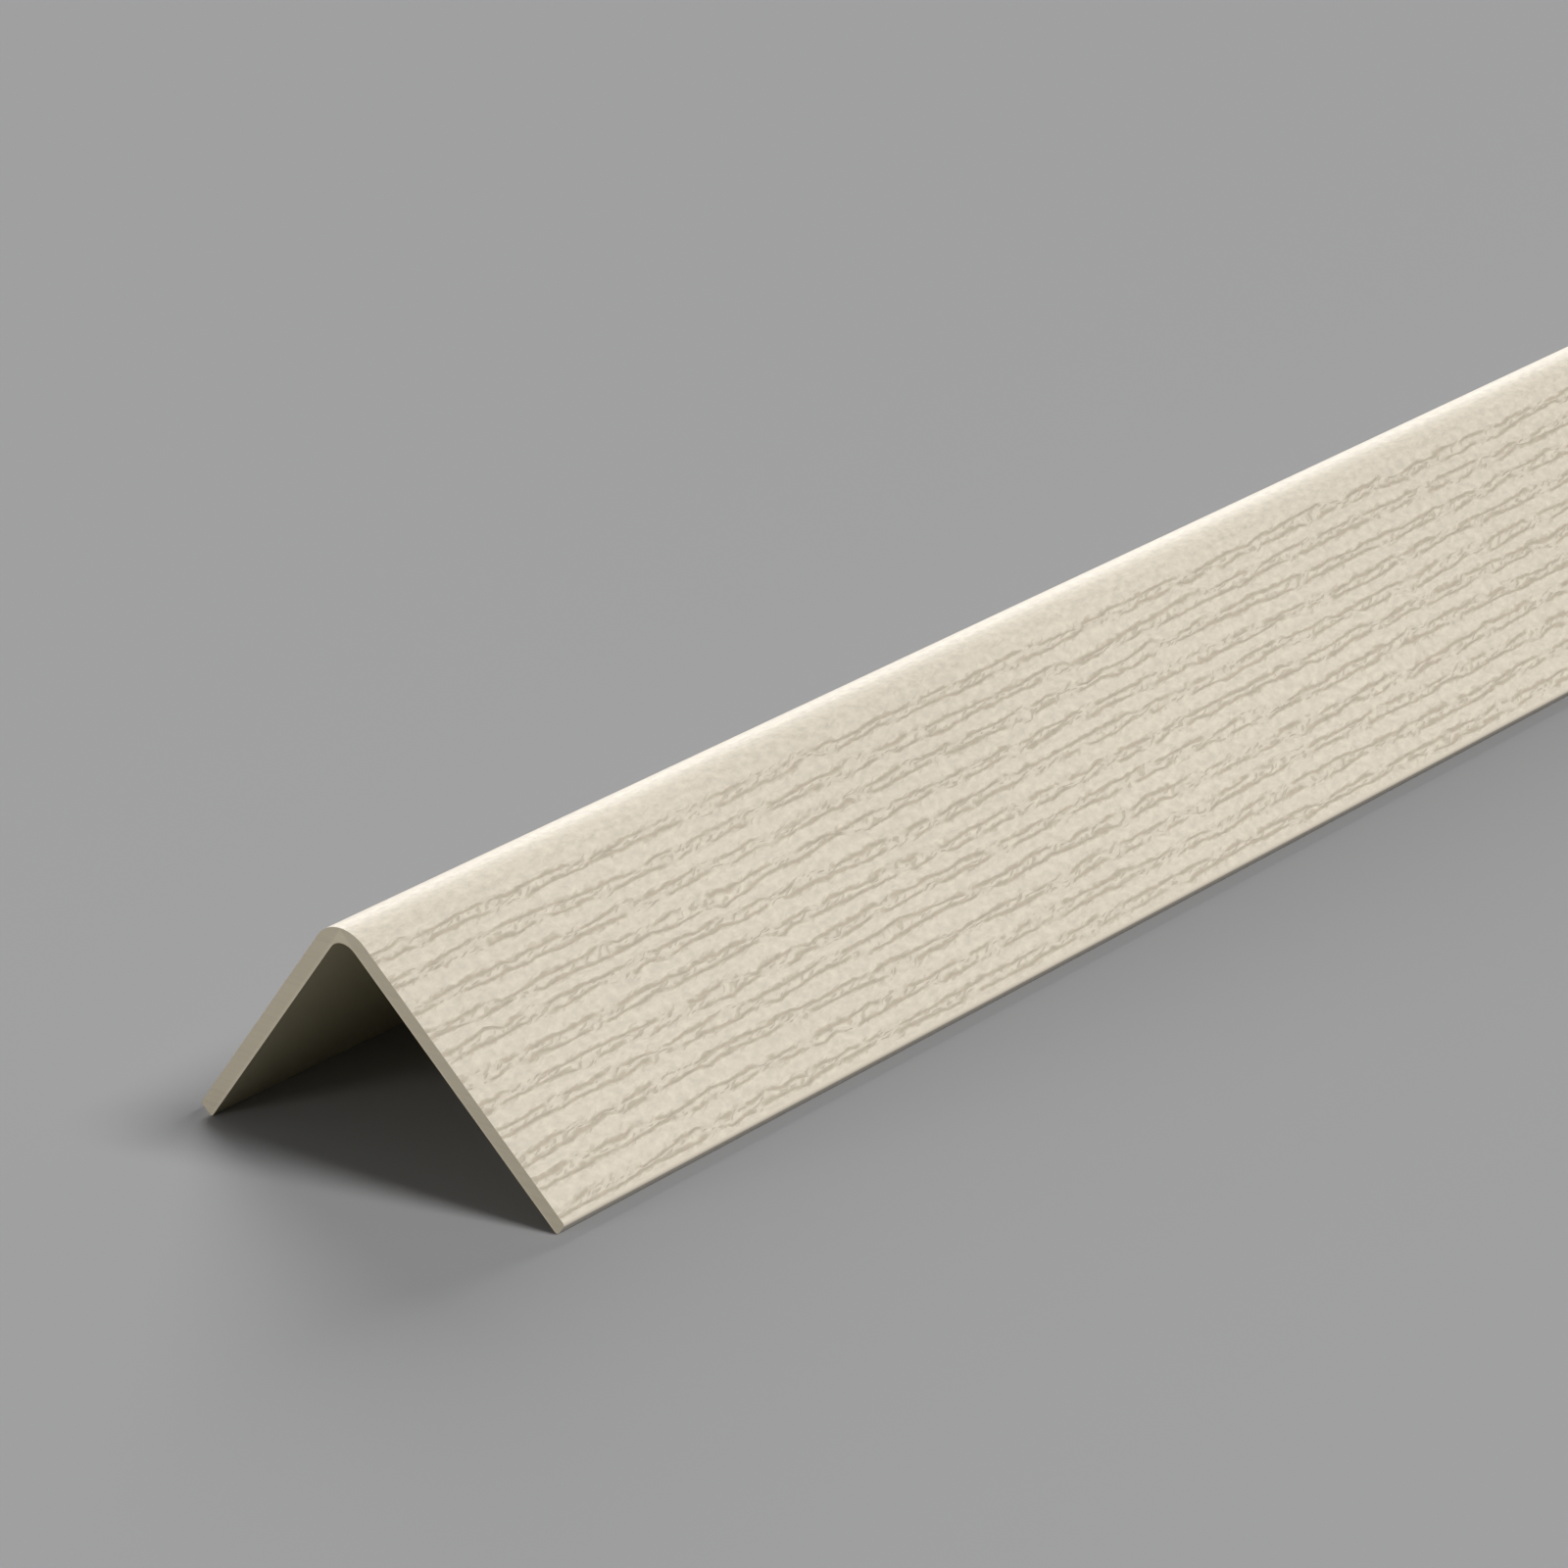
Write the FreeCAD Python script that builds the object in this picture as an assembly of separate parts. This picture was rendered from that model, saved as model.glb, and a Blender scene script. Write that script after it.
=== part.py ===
"""Corner guard moulding: one extruded length of rigid PVC angle.

Two equal legs meet at a right angle in a rounded corner, and the free edge of each leg is
rounded on both sides. The moulding lies as it comes to rest, on the free edges of its legs
with the corner on top.

Frame: +X along the length, +Z up, origin on the floor under the middle of the length.
Millimetres.
"""

import math
import os

import FreeCAD
import Part

# Driving dimensions
length = 1000.0  # cut length of the stock
leg_width = 30.0  # outer face, from the sharp corner to the free edge
wall = 1.5
bend_outer_radius = 4.0
bend_inner_radius = 2.0
edge_flat = 0.9  # what the two roundings of a free edge leave flat between them

edge_radius = (wall - edge_flat) / 2
UP = FreeCAD.Vector(0, 0, 1)


def leg_directions(side):
    """The direction down a leg and the direction from its outer face to its inner one.

    side is -1 for the leg that falls towards -Y and +1 for the one that falls towards +Y.
    """
    down = FreeCAD.Vector(0, side, -1).normalize()
    inward = FreeCAD.Vector(0, -side, -1).normalize()
    return down, inward


def line(start, end):
    return Part.LineSegment(start, end).toShape()


def quarter_arc(start, centre, radius, towards, end):
    """A quarter of a circle from start to end that bulges along towards."""
    middle = centre + towards * radius
    return Part.Arc(start, middle, end).toShape()


def leg_edges(side, outer_start, inner_start):
    """The outer face, the rounded free edge and the inner face of one leg."""
    down, inward = leg_directions(side)
    outer_end = down * (leg_width - edge_radius)
    inner_end = outer_end + inward * wall
    outer_centre = outer_end + inward * edge_radius
    inner_centre = inner_end - inward * edge_radius
    flat_start = outer_centre + down * edge_radius
    flat_end = inner_centre + down * edge_radius
    return [
        line(outer_start, outer_end),
        quarter_arc(outer_end, outer_centre, edge_radius, (down - inward).normalize(), flat_start),
        line(flat_start, flat_end),
        quarter_arc(flat_end, inner_centre, edge_radius, (down + inward).normalize(), inner_end),
        line(inner_end, inner_start),
    ]


def bend_arc(corner, radius):
    """The arc that rounds a sharp corner, with its two ends by the side of the leg."""
    centre = corner - UP * (radius * math.sqrt(2))
    ends = {side: corner + leg_directions(side)[0] * radius for side in (-1, 1)}
    return quarter_arc(ends[-1], centre, radius, UP, ends[1]), ends


def section():
    """The face of the section in the YZ plane, with its sharp outer corner at the origin."""
    outer_corner = FreeCAD.Vector()
    inner_corner = outer_corner - UP * (wall * math.sqrt(2))
    outer_arc, outer_starts = bend_arc(outer_corner, bend_outer_radius)
    inner_arc, inner_starts = bend_arc(inner_corner, bend_inner_radius)
    edges = [outer_arc, inner_arc]
    for side in (-1, 1):
        edges += leg_edges(side, outer_starts[side], inner_starts[side])
    return Part.Face(Part.Wire(Part.__sortEdges__(edges)))


def corner_guard():
    """The section drawn out along X, centred on the origin and set down on the floor."""
    solid = section().extrude(FreeCAD.Vector(length, 0, 0))
    solid.translate(FreeCAD.Vector(-length / 2, 0, -solid.BoundBox.ZMin))
    return solid


os.makedirs("parts", exist_ok=True)
corner_guard().exportStep("parts/corner_guard.step")
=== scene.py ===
"""The looks of a corner guard moulding, laid out as a Blender add-on and run as a script.

The moulding is an extruded right-angle strip of cream rigid PVC. Its two outer faces are embossed
with wood grain, its inner faces are smooth, and its ends are sawn square. Sizes are in metres, in
the frame of the packed model: X along the length, Z up, the free edges of the legs on the floor.
"""

import math

import bmesh
import bpy
import numpy as np
from bpy.props import FloatProperty, FloatVectorProperty, IntProperty, PointerProperty
from bpy.types import NodeSocket, Operator, Panel, PropertyGroup
from mathutils import Matrix, Vector


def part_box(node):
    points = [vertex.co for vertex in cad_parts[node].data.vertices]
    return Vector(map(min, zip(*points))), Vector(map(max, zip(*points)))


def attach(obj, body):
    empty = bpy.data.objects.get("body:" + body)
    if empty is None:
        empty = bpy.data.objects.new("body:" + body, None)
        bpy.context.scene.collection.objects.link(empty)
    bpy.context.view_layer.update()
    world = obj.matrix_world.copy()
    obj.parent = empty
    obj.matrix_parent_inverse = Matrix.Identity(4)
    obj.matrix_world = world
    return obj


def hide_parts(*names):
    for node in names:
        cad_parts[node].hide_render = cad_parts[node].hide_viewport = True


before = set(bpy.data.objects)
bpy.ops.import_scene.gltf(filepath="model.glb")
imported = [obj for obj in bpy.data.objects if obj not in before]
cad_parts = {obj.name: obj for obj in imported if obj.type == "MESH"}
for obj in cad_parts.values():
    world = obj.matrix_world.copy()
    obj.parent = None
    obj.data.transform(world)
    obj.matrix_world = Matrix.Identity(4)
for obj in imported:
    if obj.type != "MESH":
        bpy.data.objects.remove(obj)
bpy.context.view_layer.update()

bl_info = {
    "name": "Corner Guard Moulding",
    "version": (1, 0, 0),
    "blender": (4, 5, 0),
    "location": "View3D > Sidebar > Corner Guard",
    "description": "Makes a PVC corner guard with wood grain embossed on its outer faces",
    "category": "Object",
}

NODE = "corner_guard"
PIECE = "corner_guard_moulding"
MM = 0.001
HALF_ROOT = math.sqrt(0.5)
SIDES = (-1, 1)
ON_FACE = 1e-4 * MM  # a point this near a face or a line lies on it
HEIGHT_SLACK = 0.05 * MM  # more than the CAD model's facets take off the crown
END_TURN = 0.9  # a face whose normal has an X past this is an end

# Each groove has a line of the mesh at its bottom and one at each of its shoulders, so a pair of
# grooves has six, and these two of them are the bottoms.
LINES_PER_PAIR = 6
BOTTOMS = (1, 4)

GRAIN_MAP = "grain"
GROOVE = "groove"
EMBOSSED, SMOOTH, SAWN = range(3)
PVC_IOR = 1.53
NOISE_RANGE = {"From Min": 0.3, "From Max": 0.7}  # where nearly all of a noise texture lies

# The direction towards each lamp, and how wide it looks, in degrees.
LAMPS = {
    "key": ((0.15, -0.73, 0.65), 16.0),
    "back": ((0.60, 0.62, 0.42), 35.0),
    "rim": ((0.55, 0.80, 0.20), 10.0),
    "side": ((-0.90, 0.42, 0.10), 20.0),
}


def linear(hex_colour):
    """An sRGB hex colour as the linear colour that shaders take."""
    channels = (int(hex_colour[i : i + 2], 16) / 255 for i in (1, 3, 5))
    return tuple(c / 12.92 if c <= 0.04045 else ((c + 0.055) / 1.055) ** 2.4 for c in channels)


def size(name, description, default):
    return FloatProperty(
        name=name, description=description, default=default, min=0.0, unit="LENGTH", precision=5
    )


def count(name, description, default, lowest=1):
    return IntProperty(name=name, description=description, default=default, min=lowest)


def level(name, description, default):
    return FloatProperty(name=name, description=description, default=default, min=0.0)


def angle(name, description, degrees):
    return FloatProperty(
        name=name, description=description, default=math.radians(degrees), subtype="ANGLE"
    )


def place(name, description, default):
    return FloatVectorProperty(
        name=name, description=description, default=default, subtype="TRANSLATION"
    )


def colour(name, description, hex_colour):
    return FloatVectorProperty(
        name=name, description=description, default=linear(hex_colour),
        subtype="COLOR", size=3, min=0.0, max=1.0,
    )


class GuardSection(PropertyGroup):
    """The section of the moulding, as in the CAD model."""

    leg_width: size("Leg width", "Outer face, from the sharp corner to the free edge", 30.0 * MM)
    wall: size("Wall", "Thickness of both legs", 1.5 * MM)
    bend_outer: size("Outer bend radius", "Rounding of the corner outside", 4.0 * MM)
    bend_inner: size("Inner bend radius", "Rounding of the corner inside", 2.0 * MM)
    edge_radius: size("Edge radius", "Rounding on both sides of each free edge", 0.3 * MM)
    outer_steps: count("Outer bend steps", "Facets round the outer bend", 12)
    inner_steps: count("Inner steps", "Facets round the inner bend and each edge rounding", 8)


class GuardGrain(PropertyGroup):
    """The wood grain: broken grooves in pairs that run along the length."""

    pairs: count("Pairs", "Pairs of grooves on each leg", 11)
    first: size("First pair", "From the start of the flat to the middle of the pair", 1.25 * MM)
    pitch: size("Pitch", "From one pair of grooves to the next", 2.33 * MM)
    gap: size("Gap", "Between the two grooves of a pair", 0.70 * MM)
    shoulder: size("Shoulder", "From the bottom of a groove to either shoulder", 0.17 * MM)
    depth: size("Groove depth", "At the bottom of a full groove", 0.05 * MM)
    unevenness: size("Unevenness", "How far the skin between grooves rises and falls", 0.02 * MM)
    hook: size("Hook", "How far the ends of a stroke turn aside", 0.16 * MM)
    station: size("Station", "Step of the mesh along the length", 1.52 * MM)
    seed: count("Seed", "Another number gives another length of grain", 7, 0)


class GuardColours(PropertyGroup):
    """Colours of the plastic and of the studio."""

    body: colour("Plastic", "Cream rigid PVC", "#E0D6C4")
    # Painted shade: the bottoms of the strokes are painted this darker colour, for the shade that
    # falls in the grooves.
    groove: colour("Groove", "The plastic at the bottom of a groove", "#BEB29E")
    # Painted bounce light: the inner faces are painted warmer and more yellow than the skin, for
    # the light bounced between the legs.
    inside: colour("Inside", "The smooth inner faces", "#DFD5B2")
    sawn: colour("Sawn end", "The cut through the wall", "#E2D6BC")
    floor: colour("Floor", "The plain studio floor, as the camera sees it", "#A1A1A2")
    bounce: colour("Bounce", "The floor, as it lights the object", "#808081")
    backdrop: colour("Backdrop", "What the camera sees past the floor", "#A0A0A1")


class GuardStudio(PropertyGroup):
    """The camera, and the lamps in watts on a square metre."""

    camera: place("Camera", "Where the camera stands", (-0.73799, -0.30889, 0.17743))
    azimuth: angle("Azimuth", "Of the camera, round the object", -42.70)
    elevation: angle("Elevation", "Of the camera, over the floor", 21.11)
    roll: angle("Roll", "Of the camera, about its own axis", -7.24)
    lens: level("Lens", "Focal length on a 36 mm sensor, in millimetres", 127.7)
    sky: level("Sky", "Level of the even light from all round", 0.12)
    key: level("Key light", "Soft light from in front", 2.48)
    back: level("Back light", "Broad light from behind the far end", 2.15)
    rim: level("Rim light", "Low light from behind", 0.20)
    side: level("Side light", "Low light into the near end, from the hidden side", 1.0)


# The section and its mesh


def corner_height(section):
    """Height of the sharp outer corner over the floor that the free edges rest on."""
    straight = section.leg_width + section.wall - 2 * section.edge_radius
    return straight * HALF_ROOT + section.edge_radius


def crown_height(section):
    """Height of the rounded corner over the same floor."""
    return corner_height(section) - section.bend_outer * (1 / HALF_ROOT - 1)


def on_leg(section, side, down, inward):
    """The point down a leg from the sharp outer corner and inward from its outer face."""
    y = side * (down - inward) * HALF_ROOT
    z = corner_height(section) - (down + inward) * HALF_ROOT
    return y, z


def long_edges(bm, y, z):
    """The edges that run along the whole length through one point of the section."""
    return [
        edge
        for edge in bm.edges
        if all(math.hypot(v.co.y - y, v.co.z - z) < ON_FACE for v in edge.verts)
    ]


def angle_prism(section, low, high):
    """The sharp-cornered angle drawn out along X, with its long corners rounded and no ends."""
    width, wall = section.leg_width, section.wall
    feet = [(width, 0.0), (width, wall)]
    outer_corner = on_leg(section, 1, 0.0, 0.0)
    inner_corner = on_leg(section, 1, wall, wall)
    left = [on_leg(section, -1, *foot) for foot in feet]
    right = [on_leg(section, 1, *foot) for foot in feet]
    outline = [outer_corner, *left, inner_corner, *reversed(right)]
    bm = bmesh.new()
    end = bm.faces.new([bm.verts.new((low.x, y, z)) for y, z in outline])
    drawn = bmesh.ops.extrude_face_region(bm, geom=[end])["geom"]
    moved = [v for v in drawn if isinstance(v, bmesh.types.BMVert)]
    bmesh.ops.translate(bm, vec=(high.x - low.x, 0, 0), verts=moved)
    roundings = [(outer_corner, section.bend_outer, section.outer_steps)]
    roundings += [(inner_corner, section.bend_inner, section.inner_steps)]
    roundings += [(foot, section.edge_radius, section.inner_steps) for foot in left + right]
    for corner, radius, steps in roundings:
        bmesh.ops.bevel(
            bm, geom=long_edges(bm, *corner), offset=radius, offset_type="OFFSET",
            affect="EDGES", segments=steps, profile=0.5, material=-1,
        )
    bmesh.ops.recalc_face_normals(bm, faces=bm.faces[:])
    ends = [face for face in bm.faces if abs(face.normal.x) > END_TURN]
    bmesh.ops.delete(bm, geom=ends, context="FACES_ONLY")
    return bm


def half_bend(section):
    """Length of the outer skin from the crown to where a flat starts."""
    return section.bend_outer * math.pi / 4


def flat_width(section):
    """Width of the outer skin from the end of the bend to where the edge rounding starts."""
    return section.leg_width - section.bend_outer - section.edge_radius


def unfold(section, y, z):
    """How far points lie from the crown across the outer skin, and how deep under it.

    The distance across is negative on the leg that falls towards -Y.
    """
    centre = corner_height(section) - section.bend_outer / HALF_ROOT
    up = z - centre
    round_angle = np.arctan2(np.abs(y), up)
    bent = round_angle < math.pi / 4
    down = (np.abs(y) - up) * HALF_ROOT
    out = (np.abs(y) + up) * HALF_ROOT
    across = np.where(bent, round_angle * section.bend_outer, half_bend(section) + down)
    depth = section.bend_outer - np.where(bent, np.hypot(y, up), out)
    return across * np.sign(y), depth


def fold(section, across, depth):
    """The inverse of unfold."""
    centre = corner_height(section) - section.bend_outer / HALF_ROOT
    turned = np.clip(np.abs(across), 0, half_bend(section)) / section.bend_outer
    straight = np.maximum(np.abs(across) - half_bend(section), 0)
    radius = section.bend_outer - depth
    y = np.sign(across) * (radius * np.sin(turned) + straight * HALF_ROOT)
    z = centre + radius * np.cos(turned) - straight * HALF_ROOT
    return y, z


# The grain


def wander(rng, shape, reach):
    """Smooth random values of about unit spread, alike over reach cells of each axis."""
    field = rng.standard_normal(shape)
    for axis, cells in enumerate(reach):
        taps = np.arange(-math.ceil(3 * cells), math.ceil(3 * cells) + 1)
        kernel = np.exp(-0.5 * (taps / cells) ** 2)
        edge = [(len(taps), len(taps)) if a == axis else (0, 0) for a in range(len(shape))]
        padded = np.pad(field, edge, mode="reflect")
        soft = np.apply_along_axis(np.convolve, axis, padded, kernel / kernel.sum(), mode="same")
        field = np.take(soft, range(len(taps), len(taps) + shape[axis]), axis=axis)
    return field / max(field.std(), 1e-9)


def strokes(rng, along, hook):
    """One broken groove: its share of the full depth along the length, and its drift sideways.

    A stroke is 2.6 to 18 mm long, half of them under 5.5 mm, and the next one starts 0.8 mm or
    more after it. Both ends taper over about 1 mm. Over 1.6 mm the stroke turns down the leg at
    its start and up the leg at its end, and the whole of it may lean a little either way.
    """
    typical, scatter, shortest, longest = 5.5, 0.6, 2.6, 18.0
    least_gap = 0.8
    taper, turn = 1.0 * MM, 1.6 * MM
    depth = np.zeros_like(along)
    hooked = np.zeros_like(along)
    knots = []
    start = along[0] - rng.uniform(0, 8 * MM)
    while start < along[-1]:
        length = min(max(rng.lognormal(math.log(typical), scatter), shortest), longest) * MM
        gap = (least_gap + rng.exponential(0.8)) * MM
        end = start + length
        inside = np.clip(np.minimum(along - start, end - along) / taper + 0.3, 0, 1)
        depth = np.maximum(depth, inside * rng.uniform(0.75, 1.0))
        near_start = np.clip(1 - np.abs(along - start) / turn, 0, 1) * rng.uniform(0.3, 1.5)
        near_end = np.clip(1 - np.abs(along - end) / turn, 0, 1) * rng.uniform(0.3, 1.5)
        within = (along > start - gap / 2) & (along < end + gap / 2)
        hooked = np.where(within, hook * (near_start - near_end), hooked)
        tilt = rng.normal(-0.008, 0.02)
        knots += [(start, -tilt * length / 2), (end, tilt * length / 2)]
        start = end + gap
    drift = np.interp(along, *zip(*knots))
    return depth, drift + hooked


def nominal_lines(section, grain):
    """Where the mesh lines of one flat lie before they wander: three to each groove of a pair."""
    start = half_bend(section)
    bottoms = (-grain.gap / 2, grain.gap / 2)
    steps = (-grain.shoulder, 0.0, grain.shoulder)
    lines = [start]
    for pair in range(grain.pairs):
        middle = start + grain.first + pair * grain.pitch
        lines += [middle + (bottom + step) for bottom in bottoms for step in steps]
    return np.array([*lines, start + flat_width(section)])


def leg_grain(section, grain, rng, along):
    """How far the mesh lines of one flat wander, and each line's share of a full groove.

    Each groove wavers by 0.05 mm over 2 mm of its length, and each pair by 0.1 mm over 8 mm.
    """
    cells = 1 / grain.station
    nominal = nominal_lines(section, grain)
    lines = np.repeat(nominal[:, None], len(along), axis=1)
    shares = np.zeros_like(lines)
    fade = wander(rng, (grain.pairs, len(along)), (0.8, 9 * MM * cells))
    for pair in range(grain.pairs):
        first = 1 + LINES_PER_PAIR * pair
        for bottom in BOTTOMS:
            share, drift = strokes(rng, along, grain.hook)
            drift += 0.05 * MM * wander(rng, along.shape, (2.2 * MM * cells,))
            groove = slice(first + bottom - 1, first + bottom + 2)
            worn = np.clip(0.97 + 0.12 * fade[pair], 0.5, 1.0)
            shares[groove] = share * worn
            lines[groove] += drift
        middle = 0.10 * MM * wander(rng, along.shape, (8 * MM * cells,))
        lines[first : first + LINES_PER_PAIR] += middle
    # Neighbouring lines never cross.
    apart = 0.05 * MM
    for i in range(1, len(lines) - 1):
        lines[i] = np.maximum(lines[i], lines[i - 1] + apart)
    for i in range(len(lines) - 2, 0, -1):
        lines[i] = np.minimum(lines[i], lines[i + 1] - apart)
    return lines, shares


def cut_skin(bm, section, length, lines_across, stations):
    """Cuts the two flats into their lines, and the whole outer skin into its stations."""

    def outer_edges(lengthwise, wide=0.0):
        found = []
        for edge in bm.edges:
            places = np.array([v.co[:] for v in edge.verts])
            across, depth = unfold(section, places[:, 1], places[:, 2])
            on_skin = np.abs(depth).max() < ON_FACE
            long = np.ptp(places[:, 0]) > length / 2
            if on_skin and long == lengthwise and np.ptp(across) > wide - ON_FACE:
                found.append(edge)
        return found

    flat_ends = outer_edges(False, flat_width(section))
    bmesh.ops.subdivide_edges(bm, edges=flat_ends, cuts=lines_across, use_grid_fill=True)
    skin = outer_edges(True)
    bmesh.ops.subdivide_edges(bm, edges=skin, cuts=stations - 1, use_grid_fill=True)


def emboss(bm, section, grain, low, high):
    """Presses the grain into the outer skin, and stores each point's share of a full stroke.

    Returns how far each point lies from the crown in the grain's map, and whether it is on the
    outer skin.
    """
    length = high.x - low.x
    lines_across = LINES_PER_PAIR * grain.pairs
    stations = round(length / grain.station)
    cut_skin(bm, section, length, lines_across, stations)

    bm.verts.index_update()
    places = np.array([v.co[:] for v in bm.verts])
    across, depth = unfold(section, places[:, 1], places[:, 2])
    on = np.abs(depth) < ON_FACE
    on &= np.abs(across) < half_bend(section) + flat_width(section) + ON_FACE
    flat = on & (np.abs(across) > half_bend(section) - ON_FACE)
    bend = on & ~flat
    station = np.rint((places[:, 0] - low.x) / length * stations).astype(int)
    line_step = flat_width(section) / (lines_across + 1)
    line = np.rint((np.abs(across) - half_bend(section)) / line_step).astype(int)
    bend_step = 2 * half_bend(section) / section.outer_steps
    bend_line = np.rint((across + half_bend(section)) / bend_step).astype(int)

    rng = np.random.default_rng(grain.seed)
    along = np.linspace(low.x, high.x, stations + 1)
    nominal = nominal_lines(section, grain)
    is_bottom = np.zeros(len(nominal))
    for bottom in BOTTOMS:
        is_bottom[1 + bottom :: LINES_PER_PAIR] = 1
    is_bottom[-1] = 0
    laid = across.copy()
    moved = across.copy()
    pressed = np.zeros(len(places))
    stroke = np.zeros(len(places))
    for side in SIDES:
        lines, shares = leg_grain(section, grain, rng, along)
        leg = flat & (np.sign(across) == side)
        at = line[leg], station[leg]
        laid[leg] = side * nominal[line[leg]]
        moved[leg] = side * lines[at]
        stroke[leg] = shares[at]
        uneven = wander(rng, lines.shape, (2.0, 1.6))
        uneven = grain.unevenness * np.clip(0.5 + 0.3 * uneven, 0, 1)
        uneven[-1] = 0
        pressed[leg] = uneven[at] + (shares * is_bottom[:, None])[at] * grain.depth
    mottle = wander(rng, (section.outer_steps + 1, len(along)), (1.5, 3.0))
    mottle = 0.4 * grain.unevenness * np.clip(0.5 + 0.3 * mottle, 0, 1)
    pressed[bend] = mottle[bend_line[bend], station[bend]]
    y, z = fold(section, moved, np.where(on, pressed, depth))
    stroke_layer = bm.verts.layers.float.new(GROOVE)
    for i, v in enumerate(bm.verts):
        v[stroke_layer] = stroke[i]
        if on[i]:
            # The cuts leave points up to 2 microns off their stations, others in each run.
            v.co = (along[station[i]], y[i], z[i])
    return laid, on


def close_ends(bm):
    """Fills the two open ends, which stay open until the skin has all its lines."""
    rims = [edge for edge in bm.edges if edge.is_boundary]
    filled = bmesh.ops.edgeloop_fill(bm, edges=rims)["faces"]
    if len(filled) != 2:
        raise RuntimeError("the two ends of the moulding were not closed")
    bmesh.ops.recalc_face_normals(bm, faces=bm.faces[:])


def finish_faces(bm, laid, on):
    """Gives each face its material and its shading, and lays the map that the grain follows."""
    map_layer = bm.loops.layers.uv.new(GRAIN_MAP)
    for face in bm.faces:
        is_end = abs(face.normal.x) > END_TURN
        is_skin = not is_end and all(on[v.index] for v in face.verts)
        face.material_index = SAWN if is_end else EMBOSSED if is_skin else SMOOTH
        face.smooth = not is_end
        for loop in face.loops:
            loop[map_layer].uv = (loop.vert.co.x, laid[loop.vert.index])
        if is_end:
            for edge in face.edges:
                edge.smooth = False


# Materials


def add(tree, kind, sockets=(), **settings):
    """Adds a node, with its sockets set to values or linked to others, and returns its outputs."""
    made = tree.nodes.new("ShaderNode" + kind)
    for name, value in settings.items():
        setattr(made, name, value)
    for name, value in dict(sockets).items():
        if isinstance(value, NodeSocket):
            tree.links.new(value, made.inputs[name])
        else:
            made.inputs[name].default_value = value
    return made.outputs


def new_material(name):
    material = bpy.data.materials.new(name)
    material.use_nodes = True
    tree = material.node_tree
    tree.nodes.clear()
    return material, tree


def opaque(rgb):
    return (*rgb, 1.0)


def plastic_surface(tree, base, rough, height):
    """The surface of a plastic with its colour, its roughness and its relief in metres."""
    bump = add(tree, "Bump", {"Height": height, "Distance": 1.0, "Strength": 1.0})[0]
    sockets = {"Base Color": base, "Roughness": rough, "IOR": PVC_IOR, "Normal": bump}
    shader = add(tree, "BsdfPrincipled", sockets)[0]
    add(tree, "OutputMaterial", {"Surface": shader})


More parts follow.
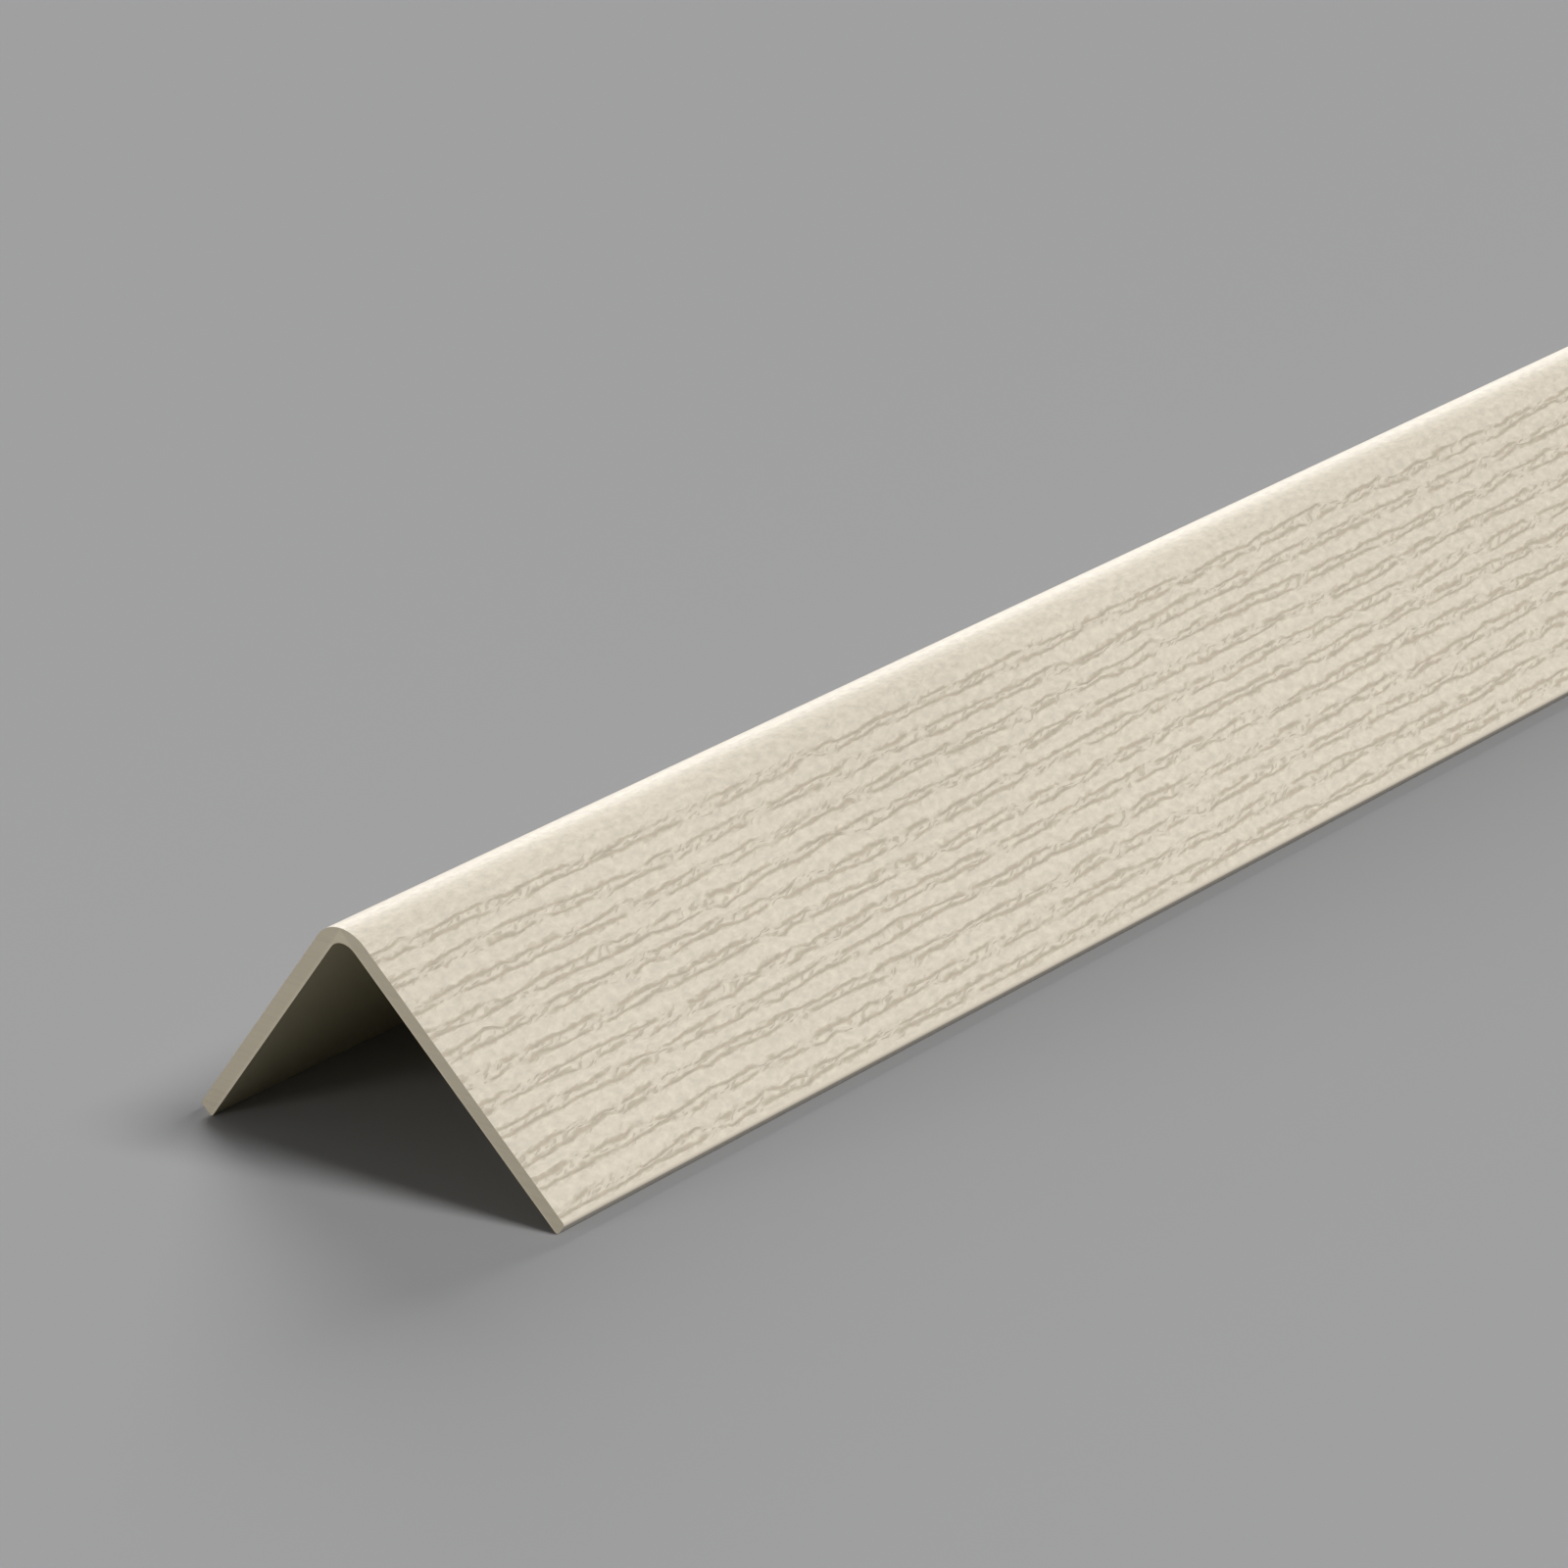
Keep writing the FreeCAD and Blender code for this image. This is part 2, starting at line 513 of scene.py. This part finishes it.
def grain_strokes(tree, uv, section, grain):
    """The strokes with their ticks, the lips beside them and each pair's band, from 0 to 1."""
    pressed = add(tree, "Attribute", attribute_name=GROOVE)["Fac"]

    # Waves 3.5 mm long and 1.2 mm across, which swing each stroke by up to 0.2 mm, and ripples
    # 1.1 mm long, which swing it by up to 0.1 mm more.
    waves = add(tree, "Mapping", {"Vector": uv, "Scale": (290, 830, 1)})[0]
    waves = add(tree, "TexNoise", {"Vector": waves, "Scale": 1.0, "Detail": 1.5})[0]
    ripples = add(tree, "Mapping", {"Vector": uv, "Scale": (900, 1600, 1)})[0]
    ripples = add(tree, "TexNoise", {"Vector": ripples, "Scale": 1.0, "Detail": 1.0})[0]
    swing = add(tree, "Math", {0: waves, 1: 0.5}, operation="SUBTRACT")[0]
    swing = add(tree, "Math", {0: swing, 1: 0.80 * MM}, operation="MULTIPLY")[0]
    rippled = add(tree, "Math", {0: ripples, 1: 0.5}, operation="SUBTRACT")[0]
    rippled = {0: rippled, 1: 0.40 * MM, 2: swing}
    swing = add(tree, "Math", rippled, operation="MULTIPLY_ADD")[0]

    # How far a point is from the middle of its pair, and from the nearer of the pair's strokes.
    parts = add(tree, "SeparateXYZ", {0: uv})
    down = add(tree, "Math", {0: parts["Y"]}, operation="ABSOLUTE")[0]
    first = half_bend(section) + grain.first
    down = add(tree, "Math", {0: down, 1: first}, operation="SUBTRACT")[0]
    pair = add(tree, "Math", {0: down, 1: grain.pitch}, operation="DIVIDE")[0]
    pair = add(tree, "Math", {0: pair}, operation="ROUND")[0]
    middle = {0: pair, 1: -grain.pitch, 2: down}
    middle = add(tree, "Math", middle, operation="MULTIPLY_ADD")[0]
    middle = add(tree, "Math", {0: middle, 1: swing}, operation="ADD")[0]
    off_middle = add(tree, "Math", {0: middle}, operation="ABSOLUTE")[0]
    off = add(tree, "Math", {0: off_middle, 1: grain.gap / 2}, operation="SUBTRACT")[0]
    off = add(tree, "Math", {0: off}, operation="ABSOLUTE")[0]

    # Breaks along each stroke, about 4 mm from one to the next, different in every stroke.
    lower = add(tree, "Math", {0: middle, 1: 0.0}, operation="GREATER_THAN")[0]
    number = add(tree, "Math", {0: pair, 1: 2.0, 2: lower}, operation="MULTIPLY_ADD")[0]
    leg = add(tree, "Math", {0: parts["Y"]}, operation="SIGN")[0]
    number = add(tree, "Math", {0: leg, 1: 40.0, 2: number}, operation="MULTIPLY_ADD")[0]
    number = add(tree, "Math", {0: number, 1: 3.7}, operation="MULTIPLY")[0]
    run = add(tree, "Math", {0: parts["X"], 1: 260.0}, operation="MULTIPLY")[0]
    breaks = add(tree, "CombineXYZ", {"X": run, "Y": number})[0]
    breaks = add(tree, "TexNoise", {"Vector": breaks, "Scale": 1.0, "Detail": 2.5})[0]
    whole = add(tree, "Math", {0: breaks, 1: 0.5}, operation="SUBTRACT")[0]
    whole = add(tree, "Math", {0: whole, 1: 1.3, 2: pressed}, operation="MULTIPLY_ADD")[0]
    whole = add(
        tree, "MapRange", {"Value": whole, "From Min": 0.20, "From Max": 0.62},
        interpolation_type="SMOOTHSTEP",
    )[0]

    # A stroke fades out 0.2 to 0.3 mm from its line, and the lip beside it twice as far off.
    reach = {0: ripples, 1: 0.26 * MM, 2: 0.13 * MM}
    reach = add(tree, "Math", reach, operation="MULTIPLY_ADD")[0]
    aside = add(tree, "Math", {0: off, 1: reach}, operation="DIVIDE")[0]
    stroke = add(
        tree, "MapRange", {"Value": aside, "From Min": 1.05, "From Max": 0.0},
        interpolation_type="SMOOTHSTEP",
    )[0]
    stroke = add(tree, "Math", {0: stroke, 1: whole}, operation="MULTIPLY")[0]
    # The lip is a low raised rim, and its mask also paints the painted highlight beside each
    # stroke.
    lip_and_highlight = add(
        tree, "MapRange", {"Value": aside, "From Min": 2.2, "From Max": 1.1},
        interpolation_type="SMOOTHSTEP",
    )[0]
    lip_and_highlight = add(tree, "Math", {0: lip_and_highlight, 1: whole}, operation="MULTIPLY")[0]

    # Short ticks, 1.1 mm long and 0.26 mm wide, that slant up the leg and braid the two strokes
    # of a pair. They lie within 0.95 mm of its middle, and not on the bend.
    number = add(tree, "Math", {0: leg, 1: 40.0, 2: pair}, operation="MULTIPLY_ADD")[0]
    ticks = add(tree, "CombineXYZ", {"X": parts["X"], "Y": middle, "Z": number})[0]
    slant = (0, 0, math.radians(-17))
    tick_size = (1.1 * MM, 0.26 * MM, 0.1)
    ticks = {"Vector": ticks, "Rotation": slant, "Scale": tick_size}
    ticks = add(tree, "Mapping", ticks, vector_type="TEXTURE")[0]
    ticks = add(tree, "TexNoise", {"Vector": ticks, "Scale": 1.0, "Detail": 1.0})[0]
    ticks = add(
        tree, "MapRange", {"Value": ticks, "From Min": 0.52, "From Max": 0.66},
        interpolation_type="SMOOTHSTEP",
    )[0]
    band = add(
        tree, "MapRange", {"Value": off_middle, "From Min": 0.95 * MM, "From Max": 0.40 * MM},
        interpolation_type="SMOOTHSTEP",
    )[0]
    flat_start = -grain.first
    off_bend = add(
        tree, "MapRange",
        {"Value": down, "From Min": flat_start - 0.9 * MM, "From Max": flat_start + 0.1 * MM},
    )[0]
    band = add(tree, "Math", {0: band, 1: off_bend}, operation="MULTIPLY")[0]
    ticks = add(tree, "Math", {0: ticks, 1: band}, operation="MULTIPLY")[0]
    ticks = add(tree, "Math", {0: ticks, 1: 0.65}, operation="MULTIPLY")[0]
    stroke = add(tree, "Math", {0: stroke, 1: ticks}, operation="MAXIMUM")[0]
    return stroke, lip_and_highlight, band


def embossed_pvc(section, grain, colours):
    """Embossed rigid PVC: extruded, then pressed with a grained roller while warm.

    The roller leaves a satin skin with a fine orange peel, and short wavy strokes in pairs with
    raised lips. The bottoms of the strokes are painted darker, a painted shade, and the lips are
    painted lighter, a painted highlight. The mesh carries the wide dip of each stroke, and the bump
    its ragged line. The grain map is in metres: along the length, and from the crown across
    the skin.
    """
    material, tree = new_material("Embossed rigid PVC")
    uv = add(tree, "UVMap", uv_map=GRAIN_MAP)[0]
    stroke, lip_and_highlight, band = grain_strokes(tree, uv, section, grain)

    # Orange peel, 0.9 mm long and 0.6 mm across.
    peel = add(tree, "Mapping", {"Vector": uv, "Scale": (1100, 1600, 1)})[0]
    peel = {"Vector": peel, "Scale": 1.0, "Detail": 2.5, "Roughness": 0.6}
    peel = add(tree, "TexNoise", peel)[0]
    # Slow drift of the tone, 35 mm across.
    drift = add(tree, "TexNoise", {"Vector": uv, "Scale": 28.0, "Detail": 2.0})[0]

    # Painted shade: the strokes are painted darker, and the whole band of a pair a little darker
    # than the skin beside it, for the shade that falls in the grooves.
    painted_shade_mask = add(tree, "Math", {0: band, 1: 0.10, 2: stroke}, operation="MULTIPLY_ADD")[0]
    painted_shade_mask = add(tree, "Math", {0: painted_shade_mask, 1: 1.0}, operation="MINIMUM")[0]
    shade = {0: painted_shade_mask, 6: opaque(colours.body), 7: opaque(colours.groove)}
    shade = add(tree, "Mix", shade, data_type="RGBA")[2]
    tone = add(tree, "MapRange", {"Value": drift, **NOISE_RANGE, "To Min": 0.97, "To Max": 1.02})[0]
    mottle = {"Value": peel, **NOISE_RANGE, "To Min": 0.89, "To Max": 1.10}
    mottle = add(tree, "MapRange", mottle)[0]
    tone = add(tree, "Math", {0: tone, 1: mottle}, operation="MULTIPLY")[0]
    # Painted highlight: the skin is painted up to 4.5% lighter along the lips of the strokes.
    tone = add(tree, "Math", {0: lip_and_highlight, 1: 0.045, 2: tone}, operation="MULTIPLY_ADD")[0]
    base = add(tree, "VectorMath", {0: shade, 3: tone}, operation="SCALE")[0]

    height = add(tree, "Math", {0: peel, 1: 0.07 * MM}, operation="MULTIPLY")[0]
    height = {0: lip_and_highlight, 1: 0.012 * MM, 2: height}
    height = add(tree, "Math", height, operation="MULTIPLY_ADD")[0]
    height = {0: stroke, 1: -0.05 * MM, 2: height}
    height = add(tree, "Math", height, operation="MULTIPLY_ADD")[0]

    # The roller presses the bend too, but not the crown, which keeps a little more gloss.
    across = add(tree, "SeparateXYZ", {0: uv})["Y"]
    off_crown = add(tree, "Math", {0: across}, operation="ABSOLUTE")[0]
    bend = half_bend(section)
    grained = {"Value": off_crown, "From Min": 0.1 * bend, "From Max": 0.5 * bend}
    grained = add(tree, "MapRange", grained)[0]
    rough = add(tree, "MapRange", {"Value": peel, **NOISE_RANGE, "To Min": 0.0, "To Max": 0.12})[0]
    rough = add(tree, "Math", {0: rough, 1: grained, 2: 0.60}, operation="MULTIPLY_ADD")[0]
    plastic_surface(tree, base, rough, height)
    return material


def off_inner_face(tree, section, spot, near, far, at_near, at_far):
    """A value that changes between two distances from the plane of the inner faces, outwards."""
    parts = add(tree, "SeparateXYZ", {0: spot})
    out = add(tree, "Math", {0: parts["Y"]}, operation="ABSOLUTE")[0]
    out = add(tree, "Math", {0: out, 1: parts["Z"]}, operation="ADD")[0]
    plane = corner_height(section) - section.wall / HALF_ROOT
    return add(
        tree, "MapRange",
        {
            "Value": out, "From Min": plane + near / HALF_ROOT, "From Max": plane + far / HALF_ROOT,
            "To Min": at_near, "To Max": at_far,
        },
        interpolation_type="SMOOTHSTEP",
    )[0]


def extruded_pvc(section, colours):
    """Extruded rigid PVC: as it leaves the die, smooth, with faint draw lines along the length.

    The inner faces are painted a warmer, more yellow cream than the skin, a painted tint for the
    light bounced between the legs, and the free edges have the colour of the skin.
    """
    material, tree = new_material("Extruded rigid PVC")
    spot = add(tree, "TexCoord")["Object"]
    # Draw lines 0.5 mm apart and a quarter of a metre long.
    lines = add(tree, "Mapping", {"Vector": spot, "Scale": (4, 2000, 2000)})[0]
    lines = add(tree, "TexNoise", {"Vector": lines, "Scale": 1.0, "Detail": 2.0})[0]
    tone = add(tree, "MapRange", {"Value": lines, **NOISE_RANGE, "To Min": 0.97, "To Max": 1.02})[0]
    on_edge = off_inner_face(tree, section, spot, 0.05 * MM, 0.20 * MM, 0.0, 1.0)
    # Painted bounce light: the inner faces take the warmer inside colour, and the free edges that
    # of the skin.
    shade = {0: on_edge, 6: opaque(colours.inside), 7: opaque(colours.body)}
    shade = add(tree, "Mix", shade, data_type="RGBA")[2]
    base = add(tree, "VectorMath", {0: shade, 3: tone}, operation="SCALE")[0]
    height = add(tree, "Math", {0: lines, 1: 0.004 * MM}, operation="MULTIPLY")[0]
    rough = add(tree, "MapRange", {"Value": lines, **NOISE_RANGE, "To Min": 0.3, "To Max": 0.4})[0]
    plastic_surface(tree, base, rough, height)
    return material


def sawn_pvc(section, colours):
    """Sawn rigid PVC: cut square with a fine blade, matt, with fine marks across the wall.

    The blade leaves a burr along the inner edge, and the end is painted lighter along it, a painted
    highlight for the light that the burr catches.
    """
    material, tree = new_material("Sawn rigid PVC")
    spot = add(tree, "TexCoord")["Object"]
    # Saw marks 0.25 mm apart that run level across the section.
    marks = add(tree, "Mapping", {"Vector": spot, "Scale": (1, 150, 4000)})[0]
    marks = add(tree, "TexNoise", {"Vector": marks, "Scale": 1.0, "Detail": 3.0})[0]
    tone = add(tree, "MapRange", {"Value": marks, **NOISE_RANGE, "To Min": 0.95, "To Max": 1.02})[0]
    # Painted highlight: the end is painted up to 14% lighter along the inner edge.
    burr_highlight = off_inner_face(tree, section, spot, 0.07 * MM, 0.35 * MM, 1.14, 1.0)
    tone = add(tree, "Math", {0: tone, 1: burr_highlight}, operation="MULTIPLY")[0]
    base = {0: tuple(colours.sawn), 3: tone}
    base = add(tree, "VectorMath", base, operation="SCALE")[0]
    height = add(tree, "Math", {0: marks, 1: 0.01 * MM}, operation="MULTIPLY")[0]
    plastic_surface(tree, base, 0.65, height)
    return material


def plain_seen_and_bounced(tree, seen, bounced):
    """One colour for what the camera, mirrors and glass see, another for the light sent back."""
    path = add(tree, "LightPath")
    sees = {0: path["Is Camera Ray"], 1: path["Is Glossy Ray"]}
    sees = add(tree, "Math", sees, operation="MAXIMUM")[0]
    sees = {0: sees, 1: path["Is Transmission Ray"]}
    sees = add(tree, "Math", sees, operation="MAXIMUM")[0]
    mixed = {0: sees, 6: opaque(bounced), 7: opaque(seen)}
    return add(tree, "Mix", mixed, data_type="RGBA")[2]


# Operators


class MESH_OT_corner_guard(Operator):
    """Make the corner guard moulding"""

    bl_idname = "mesh.corner_guard"
    bl_label = "Corner Guard"
    bl_options = {"REGISTER", "UNDO"}

    def execute(self, context):
        scene = context.scene
        section, grain, colours = scene.guard_section, scene.guard_grain, scene.guard_colours
        low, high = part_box(NODE)
        if abs(crown_height(section) - high.z) > HEIGHT_SLACK:
            raise RuntimeError("the section's height is not the CAD model's")
        bm = angle_prism(section, low, high)
        laid, on = emboss(bm, section, grain, low, high)
        close_ends(bm)
        finish_faces(bm, laid, on)
        if not all(edge.is_manifold for edge in bm.edges):
            raise RuntimeError("the moulding's mesh is not closed")
        mesh = bpy.data.meshes.new(PIECE)
        bm.to_mesh(mesh)
        bm.free()
        mesh.materials.append(embossed_pvc(section, grain, colours))
        mesh.materials.append(extruded_pvc(section, colours))
        mesh.materials.append(sawn_pvc(section, colours))
        moulding = bpy.data.objects.new(PIECE, mesh)
        scene.collection.objects.link(moulding)
        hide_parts(NODE)
        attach(moulding, "root")
        return {"FINISHED"}


class SCENE_OT_corner_guard_studio(Operator):
    """Set up the floor, the lamps and the camera"""

    bl_idname = "scene.corner_guard_studio"
    bl_label = "Studio"
    bl_options = {"REGISTER", "UNDO"}

    def execute(self, context):
        scene = context.scene
        studio, colours = scene.guard_studio, scene.guard_colours
        self.lay_floor(scene, colours)
        self.light_world(scene, studio, colours)
        for name, (towards, softness) in LAMPS.items():
            title = f"{name.capitalize()} light"
            self.hang_light(scene, title, Vector(towards), softness, getattr(studio, name))
        self.stand_camera(scene, studio)
        scene.view_settings.view_transform = "Standard"
        return {"FINISHED"}

    def lay_floor(self, scene, colours):
        bm = bmesh.new()
        bmesh.ops.create_grid(bm, x_segments=1, y_segments=1, size=30.0)
        mesh = bpy.data.meshes.new("studio_floor")
        bm.to_mesh(mesh)
        bm.free()
        material, tree = new_material("Matt painted floor")
        colour_seen = plain_seen_and_bounced(tree, colours.floor, colours.bounce)
        shader = add(tree, "BsdfDiffuse", {"Color": colour_seen})[0]
        add(tree, "OutputMaterial", {"Surface": shader})
        mesh.materials.append(material)
        floor = bpy.data.objects.new("studio_floor", mesh)
        scene.collection.objects.link(floor)

    def light_world(self, scene, studio, colours):
        world = bpy.data.worlds.new("Studio")
        scene.world = world
        world.use_nodes = True
        tree = world.node_tree
        tree.nodes.clear()
        even = (studio.sky,) * 3
        seen = plain_seen_and_bounced(tree, colours.backdrop, even)
        background = add(tree, "Background", {"Color": seen, "Strength": 1.0})[0]
        add(tree, "OutputWorld", {"Surface": background})

    def hang_light(self, scene, name, towards, softness, watts):
        """Even light from one side, as from a large far lamp that looks softness degrees wide."""
        lamp = bpy.data.lights.new(name, "SUN")
        lamp.angle = math.radians(softness)
        lamp.energy = watts
        holder = bpy.data.objects.new(name, lamp)
        scene.collection.objects.link(holder)
        holder.matrix_world = towards.to_track_quat("Z", "Y").to_matrix().to_4x4()

    def stand_camera(self, scene, studio):
        azimuth, elevation, roll = studio.azimuth, studio.elevation, studio.roll
        back = Vector((
            math.sin(azimuth) * math.cos(elevation),
            -math.cos(azimuth) * math.cos(elevation),
            math.sin(elevation),
        ))
        level_right = Vector((math.cos(azimuth), math.sin(azimuth), 0.0))
        right = math.cos(roll) * level_right + math.sin(roll) * back.cross(level_right)
        up = back.cross(right)
        lens = bpy.data.cameras.new("Camera")
        lens.sensor_width = 36.0
        lens.lens = studio.lens
        lens.clip_start = 0.01
        camera = bpy.data.objects.new("Camera", lens)
        scene.collection.objects.link(camera)
        turn = Matrix((right, up, back)).transposed().to_4x4()
        camera.matrix_world = Matrix.Translation(Vector(studio.camera)) @ turn
        scene.camera = camera


class VIEW3D_PT_corner_guard(Panel):
    """The sizes, colours and makers of the corner guard"""

    bl_label = "Corner Guard"
    bl_idname = "VIEW3D_PT_corner_guard"
    bl_space_type = "VIEW_3D"
    bl_region_type = "UI"
    bl_category = "Corner Guard"

    def draw(self, context):
        for name in PROPERTIES:
            group = getattr(context.scene, name)
            box = self.layout.box()
            box.label(text=group.__doc__)
            for prop in group.__annotations__:
                box.prop(group, prop)
        for operator in OPERATORS:
            self.layout.operator(operator.bl_idname)


PROPERTIES = {
    "guard_section": GuardSection,
    "guard_grain": GuardGrain,
    "guard_colours": GuardColours,
    "guard_studio": GuardStudio,
}
OPERATORS = (MESH_OT_corner_guard, SCENE_OT_corner_guard_studio)
CLASSES = (*PROPERTIES.values(), *OPERATORS, VIEW3D_PT_corner_guard)


def register():
    for cls in CLASSES:
        bpy.utils.register_class(cls)
    for name, group in PROPERTIES.items():
        setattr(bpy.types.Scene, name, PointerProperty(type=group))


def unregister():
    for name in PROPERTIES:
        delattr(bpy.types.Scene, name)
    for cls in reversed(CLASSES):
        bpy.utils.unregister_class(cls)


def main():
    register()
    bpy.ops.scene.corner_guard_studio()
    bpy.ops.mesh.corner_guard()


if __name__ == "__main__":
    main()
